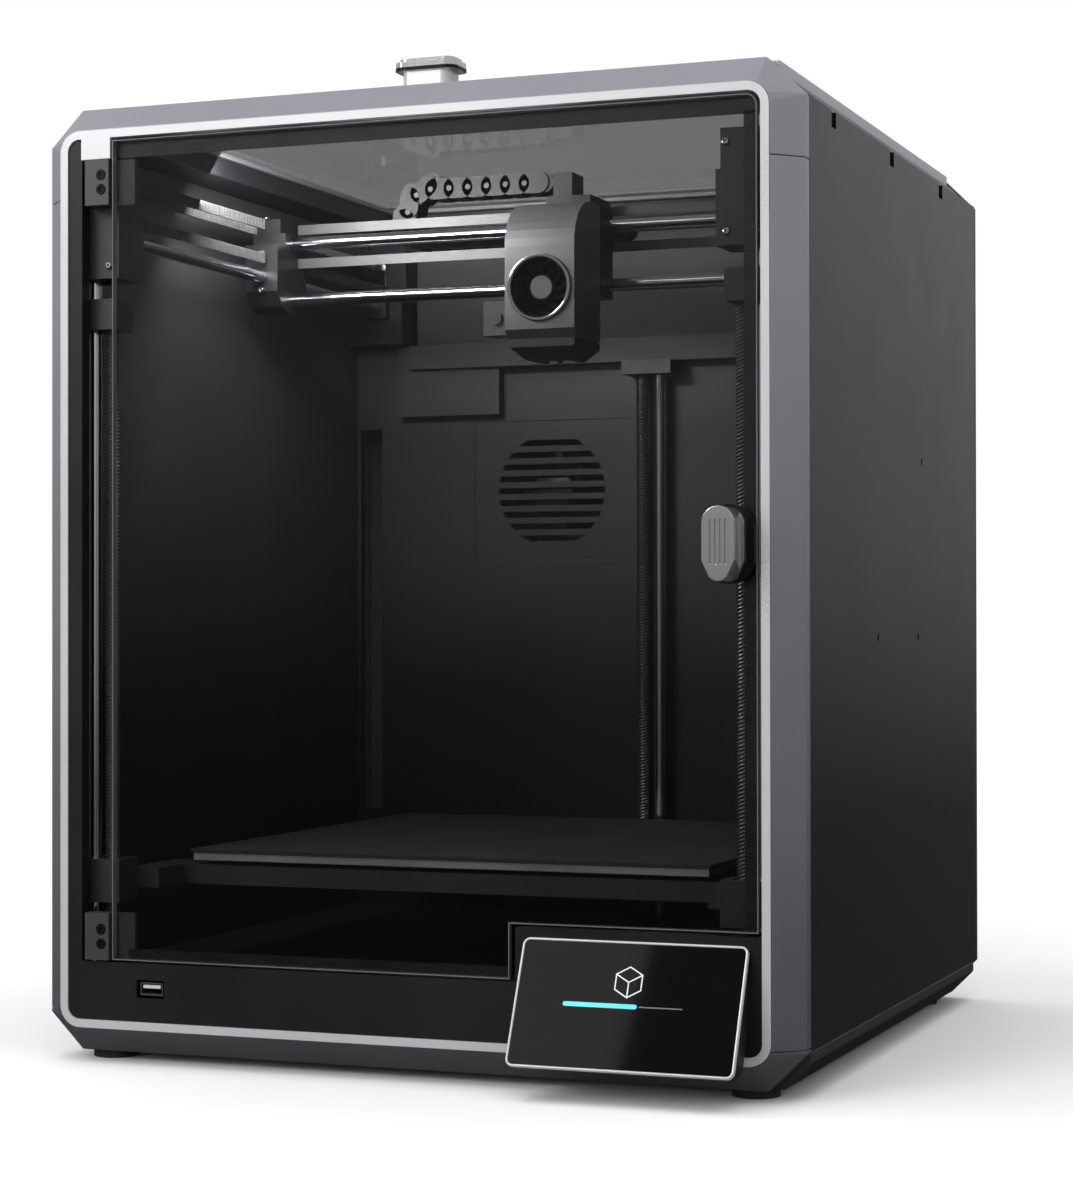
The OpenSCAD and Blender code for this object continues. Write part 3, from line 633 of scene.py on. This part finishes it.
# ---------------------------------------------------------------- fans
def fan(name, centre, depth, hub, tip, blades, sweep, body, replaces):
    """A fan wheel about Y: a hub with a rounded face and swept, twisted blades."""
    s = Shape()
    cx, cy, cz = centre
    s.turned([(0, 0), (hub - 1, 0), (hub - 0.3, 0.3), (hub, 1), (hub, depth), (0, depth)], centre, "y")
    for k in range(blades):
        rings = []
        for i in range(9):
            t = i / 8
            r = hub - 0.4 + (tip - hub + 0.4) * t
            mid = 2 * math.pi * k / blades + math.radians(sweep) * t * t
            half = math.radians(360 / blades * 0.40) * (1 - 0.25 * t)
            lead = depth * 0.10
            trail = depth * 0.85
            thick = 0.5
            ring = []
            for a, y in ((mid - half, lead), (mid - half, lead + thick),
                         (mid + half, trail + thick), (mid + half, trail)):
                ring.append((cx + r * math.cos(a), cy + y, cz + r * math.sin(a)))
            rings.append(ring)
        s.loft(rings)
    return s.make(name, "black", body, 35, replaces=replaces)


HEAD_HUB_R = 7.5
HEAD_TIP_R = 16.5
HEAD_LABEL_R = 6.6
EXHAUST_HUB_R = 14
EXHAUST_TIP_R = 35


def fans():
    low, high = box_mm("head_fan_rotor")
    mid = (low + high) / 2
    face = (mid.x, low.y, mid.z)
    fan("head_fan_wheel", face, high.y - low.y, HEAD_HUB_R, HEAD_TIP_R, 11, 34, "head_fan",
        ("head_fan_rotor",))
    label = Shape()
    r = HEAD_LABEL_R
    label.turned([(0, -0.25), (r - 0.2, -0.25), (r, -0.1), (r, 0.05), (0, 0.05)], face, "y")
    label.make("head_fan_label", "hub", "head_fan")
    low, high = box_mm("exhaust_rotor")
    fan("exhaust_fan_wheel", (EXHAUST_X, low.y, EXHAUST_Z), high.y - low.y, EXHAUST_HUB_R,
        EXHAUST_TIP_R, 7, 30, "exhaust_fan", ("exhaust_rotor",))


def fan_throat():
    """The black throat behind the head fan's ring."""
    ring = box_mm("head_fan_ring")
    mid = (ring[0] + ring[1]) / 2
    s = Shape()
    outer = circle(17.3, 64, mid.x, mid.z)
    inner = circle(16.7, 64, mid.x, mid.z)
    s.frame(outer, inner, ring[0].y + 0.8, ring[1].y + 1.4)
    s.make("head_fan_throat", "gloss", "head")


def exhaust_filter():
    """A porous disc behind the guard's slots, with raised rings."""
    low, high = box_mm("fan_guard")
    mid = (low + high) / 2
    place = (mid.x, high.y - 4.4, mid.z)
    s = Shape()
    s.turned([(0, 0), (45, 0), (45, 1.2), (0, 1.2)], place, "y", 64)
    for r in range(5, 45, 5):
        s.turned([(r, 1.1), (r + 1.2, 1.1), (r + 1.2, 1.5), (r, 1.5)], place, "y", 64)
    s.make("exhaust_filter", "filter", "chassis")


# ---------------------------------------------------------------- door, screen and small fittings
# The step in the glass that clears the raised fascia
NOTCH_X = 63
NOTCH_Z = 81
DOOR_CORNER_R = 6
PRINT_INSET = 0.6
PRINT_SIDE = 8
PRINT_TOP = 9.5
PRINT_LOW = 6
EDGE_WIDE = 0.55


def door_details():
    """The dark print on the glass's inner face, and a lighter strip along its cut edge that is a painted
    highlight.
    """
    low, high = box_mm("door_glass")
    inset = PRINT_INSET
    right = high.x - inset
    side_top = high.z - PRINT_SIDE
    print_y = (high.y + 0.02, high.y + 0.14)
    s = Shape()
    s.prism(rounded(low.x + inset, right, high.z - PRINT_TOP, high.z - inset, 4), *print_y)
    s.prism(rounded(high.x - PRINT_SIDE, right, NOTCH_Z + inset, side_top, 1), *print_y)
    s.prism(rounded(low.x + PRINT_SIDE, NOTCH_X - 0.4, low.z + inset, low.z + PRINT_LOW, 1), *print_y)
    s.make("door_print", "frit", "door")
    r = DOOR_CORNER_R
    w = EDGE_WIDE
    outer = circle(r, 10, high.x - r, high.z - r, 0, 90) + [(low.x, high.z), (low.x, low.z)]
    outer += [(NOTCH_X, low.z), (NOTCH_X, NOTCH_Z), (high.x, NOTCH_Z)]
    inner = circle(r - w, 10, high.x - r, high.z - r, 0, 90)
    inner += [(low.x + w, high.z - w), (low.x + w, low.z + w)]
    inner += [(NOTCH_X - w, low.z + w), (NOTCH_X - w, NOTCH_Z + w), (high.x - w, NOTCH_Z + w)]
    # The edge strip is a painted highlight: a lighter material along the glass's cut edge.
    edge = Shape()
    edge.frame(outer, inner, low.y - 0.03, high.y + 0.02)
    edge.make("door_edge_painted_highlight", "edge", "door")


SCREEN_SLOPE = 65.7
SCREEN_CORNER = (72, -30, 13)
CUBE_X = 60
CUBE_Y = 46.5
CUBE_R = 8.0
CUBE_LINE = 0.6


def on_screen():
    """The touch screen's own plane: X across, Y up its slope and Z out of its face."""
    return Matrix.Translation(SCREEN_CORNER) @ Matrix.Rotation(math.radians(SCREEN_SLOPE), 4, "X")


def screen_picture():
    """A cube in outline and a progress bar: a plain picture with no lettering."""
    turn = on_screen()
    z = (-0.32, -0.16)
    bar = Shape()
    bar.prism(rounded(26.5, 66, 32.7, 35.1, 1.1, 4), *z, axis="z", turn=turn)
    bar.make("screen_bar", "teal", "chassis")
    rest = Shape()
    rest.prism(rounded(67, 90, 33.6, 34.2, 0.25, 3), *z, axis="z", turn=turn)
    rest.make("screen_bar_rest", "dim", "chassis")
    cube = Shape()
    corners = [(CUBE_X + CUBE_R * math.sin(math.radians(a)), CUBE_Y + CUBE_R * math.cos(math.radians(a)))
               for a in range(0, 360, 60)]
    lines = [(corners[k], corners[(k + 1) % 6]) for k in range(6)]
    lines += [((CUBE_X, CUBE_Y), corners[k]) for k in (1, 3, 5)]
    for p, q in lines:
        a = Vector((*p, 0))
        b = Vector((*q, 0))
        side = (b - a).normalized().cross(Vector((0, 0, 1))) * CUBE_LINE / 2
        end = (b - a).normalized() * CUBE_LINE / 2
        quad = [a - side - end, b - side + end, b + side + end, a + side - end]
        cube.prism([(v.x, v.y) for v in quad], *z, axis="z", turn=turn)
    cube.make("screen_cube", "white", "chassis")


def button_screw(shape, centre, axis, sign, r=2.6, high=1.0):
    """A round-headed screw with a hexagonal socket, its head standing out along sign times the axis."""
    c = Vector(centre)
    steps = 24
    profile = [(r, 0.0), (r, high * 0.35), (r * 0.86, high * 0.75), (r * 0.6, high)]
    rings = []
    for radius, h in profile:
        rings.append([(u, v, h) for u, v in circle(radius, steps)])
    hexagon = []
    for k in range(steps):
        a = 2 * math.pi * k / steps
        wedge = (a + math.pi / 6) % (math.pi / 3) - math.pi / 6
        hexagon.append((a, r * 0.42 / math.cos(wedge)))
    for h in (high, high * 0.2):
        rings.append([(q * math.cos(a), q * math.sin(a), h) for a, q in hexagon])
    frame_of = {"x": lambda u, v, h: c + Vector((sign * h, u, v)),
                "y": lambda u, v, h: c + Vector((u, sign * h, v)),
                "z": lambda u, v, h: c + Vector((u, v, sign * h))}[axis]
    shape.loft([[frame_of(*p) for p in ring] for ring in rings])


def usb_tongue():
    """The light tongue inside the USB socket."""
    low, high = box_mm("usb_port")
    s = Shape()
    s.prism(rounded(low.x + 1.6, high.x - 1.6, 37.3, 39.1, 0.4, 3), low.y + 0.4, 9.2)
    s.make("usb_tongue", "stem", "chassis", edge=0.15)


BAND_PROUD = 0.25
BAND_DEEP = 1.0
BAND_R = 6.25


def knob_band():
    """The black band let into the lower edge of the knob's cap."""
    low, high = box_mm("lid_knob_cap")
    x = (low.x + high.x) / 2
    y = (low.y + high.y) / 2
    a = (high.x - low.x) / 2 + BAND_PROUD
    b = (high.y - low.y) / 2 + BAND_PROUD
    d = BAND_DEEP
    outer = rounded(x - a, x + a, y - b, y + b, BAND_R)
    inner = rounded(x - a + d, x + a - d, y - b + d, y + b - d, BAND_R - d)
    s = Shape()
    s.frame(outer, inner, low.z - 0.1, low.z + 1.7, "z")
    s.make("knob_band", "gloss", "lid", edge=0.2)


def panel_screws():
    s = Shape()
    for y, z in ((271, 331), (164, 228), (261, 228)):
        button_screw(s, (PANEL_FACE_X, y, z), "x", 1, 2.1, 0.8)
    s.make("panel_screws", "gloss", "chassis")


def rear_screws():
    """The screws of the back plate, the fan guard and the mains inlet."""
    s = Shape()
    low, high = box_mm("rear_cover")
    inset = 8
    left = low.x + inset
    right = high.x - inset
    for x in (left, 0, right):
        for z in (low.z + inset, high.z - inset):
            button_screw(s, (x, REAR_FACE_Y, z), "y", 1, 3.0, 1.3)
    for x in (left, right):
        button_screw(s, (x, REAR_FACE_Y, 260), "y", 1, 3.0, 1.3)
    for x in (EXHAUST_X - 48, EXHAUST_X + 48):
        for z in (EXHAUST_Z - 48, EXHAUST_Z + 48):
            button_screw(s, (x, 431.2, z), "y", 1, 2.0, 0.7)
    for x in (119, 167):
        button_screw(s, (x, 423.5, 76), "y", 1, 1.4, 0.4)
    s.make("rear_screws", "steel", "chassis")


def tray_screws():
    s = Shape()
    for x in (-200, -60, 60, 200):
        for y in (60, 380):
            button_screw(s, (x, y, 0), "z", -1, 3.0, 1.3)
    s.make("tray_screws", "steel", "chassis")


def mains_pins():
    """The three blades of the mains inlet, earth above."""
    s = Shape()
    for x, z in ((133.5, 63.5), (127.5, 56.5), (139.5, 56.5)):
        s.prism(rounded(x - 1.0, x + 1.0, z - 2.2, z + 2.2, 0.5, 3), 408, 419)
    s.make("mains_pins", "brass", "chassis", edge=0.2)


def gantry_screws():
    s = Shape()
    for side in (-1, 1):
        for z in (442, 465):
            button_screw(s, (side * 179, 197, z), "y", -1, 2.4, 1.6)
        for y in (210, 224):
            button_screw(s, (side * 182, y, 488), "z", 1, 2.0, 1.4)
    s.make("gantry_screws", "steel", "gantry")


def block_screws():
    s = Shape()
    for side in (-1, 1):
        for x in (177, 191):
            button_screw(s, (side * x, 12, 480), "y", -1, 2.2, 1.6)
        for x in (178, 193):
            button_screw(s, (side * x, 10, 434), "y", -1, 2.2, 1.6)
    s.make("block_screws", "steel", "chassis")


def motor_screws():
    """Four screws in the square of a 42 mm motor's face."""
    s = Shape()
    spots = [(dx, dy) for dx in (-15.5, 15.5) for dy in (-15.5, 15.5)]
    for side in (-1, 1):
        for dx, dy in spots:
            button_screw(s, (side * MOTOR_X + dx, MOTOR_Y + dy, MOTOR_TOP_Z), "z", 1, 2.4, 1.8)
    s.make("motor_screws", "steel", "chassis")


# ---------------------------------------------------------------- stage, light and camera
def floor():
    bpy.ops.mesh.primitive_plane_add(size=60, location=(0, 0, 0))
    f = bpy.context.object
    f.name = "floor"
    g = Graph("floor_paper")
    paper = g.noise(5.0, 3.0)
    g.link(g.ramp(paper, (0.90, 0.90, 0.90), (0.93, 0.93, 0.93)), g.bsdf.inputs["Base Color"])
    g.set(Roughness=0.9, Specular_IOR_Level=0.1)
    f.data.materials.append(g.m)
    f.visible_glossy = False


def world():
    """White behind everything, and for the gloss a soft sky that darkens towards the floor."""
    w = bpy.data.worlds.new("studio")
    w.use_nodes = True
    t = w.node_tree
    t.nodes.clear()
    out = t.nodes.new("ShaderNodeOutputWorld")
    sky = t.nodes.new("ShaderNodeBackground")
    white = t.nodes.new("ShaderNodeBackground")
    mix = t.nodes.new("ShaderNodeMixShader")
    path = t.nodes.new("ShaderNodeLightPath")
    coord = t.nodes.new("ShaderNodeTexCoord")
    split = t.nodes.new("ShaderNodeSeparateXYZ")
    ramp = t.nodes.new("ShaderNodeValToRGB")
    half = t.nodes.new("ShaderNodeMapRange")
    half.inputs["From Min"].default_value = -0.4
    half.inputs["From Max"].default_value = 1
    t.links.new(coord.outputs["Generated"], split.inputs[0])
    t.links.new(split.outputs["Z"], half.inputs["Value"])
    t.links.new(half.outputs["Result"], ramp.inputs["Fac"])
    stops = ((0.0, 0.015), (0.24, 0.07), (0.30, 0.28), (0.42, 0.52), (0.65, 0.82))
    ramp.color_ramp.elements[0].position = stops[0][0]
    ramp.color_ramp.elements[1].position = stops[-1][0]
    for position, _ in stops[1:-1]:
        ramp.color_ramp.elements.new(position)
    for element, (_, level) in zip(ramp.color_ramp.elements, stops):
        element.color = (level, level, level * 1.02, 1)
    t.links.new(ramp.outputs["Color"], sky.inputs["Color"])
    white.inputs["Color"].default_value = (1, 1, 1, 1)
    t.links.new(path.outputs["Is Camera Ray"], mix.inputs[0])
    t.links.new(sky.outputs[0], mix.inputs[1])
    t.links.new(white.outputs[0], mix.inputs[2])
    t.links.new(mix.outputs[0], out.inputs[0])
    bpy.context.scene.world = w


def area(name, place, target, size, power, glossy=True, roll=0.0):
    data = bpy.data.lights.new(name, "AREA")
    data.shape = "RECTANGLE"
    data.size, data.size_y = size
    data.energy = power
    obj = bpy.data.objects.new(name, data)
    bpy.context.collection.objects.link(obj)
    obj.location = place
    aim = Vector(target) - Vector(place)
    turn = Quaternion((0, 0, 1), math.radians(roll))
    obj.rotation_euler = (aim.to_track_quat("-Z", "Y") @ turn).to_euler()
    obj.visible_glossy = glossy
    return obj


def lights():
    """A wide soft sun, a front fill, the lamp in the chamber and a card that only gloss shows."""
    data = bpy.data.lights.new("sky_sun", "SUN")
    data.energy = 1.25
    data.angle = math.radians(75)
    sun = bpy.data.objects.new("sky_sun", data)
    bpy.context.collection.objects.link(sun)
    sun.rotation_euler = Vector((0.12, 0.15, -1.0)).to_track_quat("-Z", "Y").to_euler()
    sun.visible_glossy = False
    area("front", (-1.0, -2.4, 1.0), (0, 0, 0.25), (1.4, 1.4), 30, glossy=False)
    area("chamber_lamp", at(-125, 85, 500), at(40, 300, 330), (0.14, 0.04), 1.05)
    card = area("screen_card", (-0.945, -1.44, 1.33), at(132, -16, 44), (1.0, 0.9), 19, roll=14)
    card.visible_diffuse = False


def camera():
    """The picture's own viewpoint."""
    c = bpy.data.objects.new("camera", bpy.data.cameras.new("camera"))
    bpy.context.collection.objects.link(c)
    c.location = (0.5800, -1.5035, 0.2411)
    c.rotation_euler = (math.radians(90.5), math.radians(0.08), math.radians(21.06))
    c.data.sensor_width = 36
    c.data.lens = 81.44
    bpy.context.scene.camera = c
    view = bpy.context.scene.view_settings
    view.view_transform = "Standard"
    view.look = "None"


camera()
dress_nodes()
lead_screws()
belts()
drag_chain()
fans()
fan_throat()
exhaust_filter()
door_details()
screen_picture()
usb_tongue()
knob_band()
panel_screws()
rear_screws()
tray_screws()
mains_pins()
gantry_screws()
block_screws()
motor_screws()
floor()
world()
lights()
